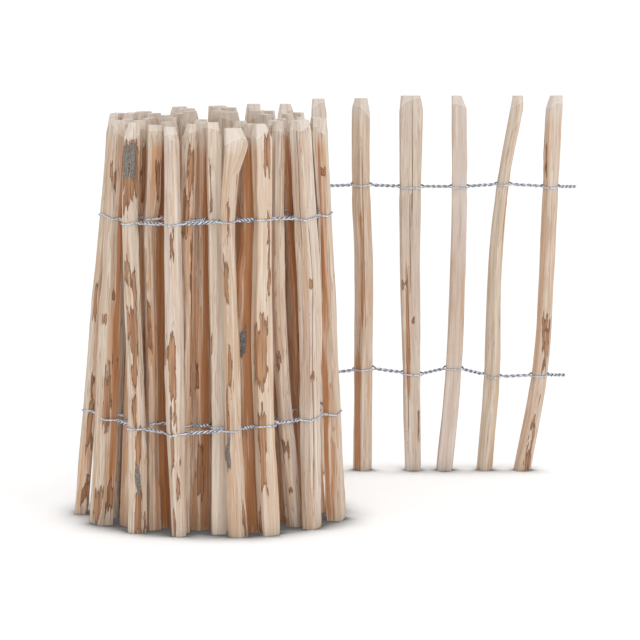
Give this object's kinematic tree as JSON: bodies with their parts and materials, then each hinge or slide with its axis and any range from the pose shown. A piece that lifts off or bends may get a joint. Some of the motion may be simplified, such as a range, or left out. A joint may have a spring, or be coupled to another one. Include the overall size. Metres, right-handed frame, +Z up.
{
  "type": "roll of cleft pale fencing",
  "caption": "Roll of cleft wooden pale fencing standing on end, its pales bound by pairs of twisted wires at two heights, the outer end drawn out straight.",
  "frame": {"origin": "centre of the box around the whole object, at the ground that the feet of the pales stand on", "axes": "+Z up along the pales; +X along the straight run, towards its free end; +Y towards the side of the straight run, away from the roll"},
  "size_m": [0.7756, 0.576, 0.6],
  "materials": {
    "pale": "cleft raw wood with remnants of bark",
    "wire": "galvanised, matt"
  },
  "bodies": {
    "root": {"pale_01": "pale", "pale_02": "pale", "pale_03": "pale", "pale_04": "pale", "pale_05": "pale", "pale_06": "pale", "pale_07": "pale", "pale_08": "pale", "pale_09": "pale", "pale_10": "pale", "pale_11": "pale", "pale_12": "pale", "pale_13": "pale", "pale_14": "pale", "pale_15": "pale", "pale_16": "pale", "pale_17": "pale", "pale_18": "pale", "pale_19": "pale", "pale_20": "pale", "pale_21": "pale", "pale_22": "pale", "pale_23": "pale", "pale_24": "pale", "pale_25": "pale", "pale_26": "pale", "pale_27": "pale", "pale_28": "pale", "pale_29": "pale", "pale_30": "pale", "pale_31": "pale", "pale_32": "pale", "pale_33": "pale", "pale_34": "pale", "pale_35": "pale", "pale_36": "pale", "pale_37": "pale", "pale_38": "pale", "pale_39": "pale", "pale_40": "pale", "pale_41": "pale", "pale_42": "pale", "pale_43": "pale", "pale_44": "pale", "pale_45": "pale", "pale_46": "pale", "pale_47": "pale", "pale_48": "pale", "pale_49": "pale", "pale_50": "pale", "pale_51": "pale", "pale_52": "pale", "pale_53": "pale", "wire_low_inner": "wire", "wire_low_outer": "wire", "wire_top_inner": "wire", "wire_top_outer": "wire"}
  },
  "joints": []
}
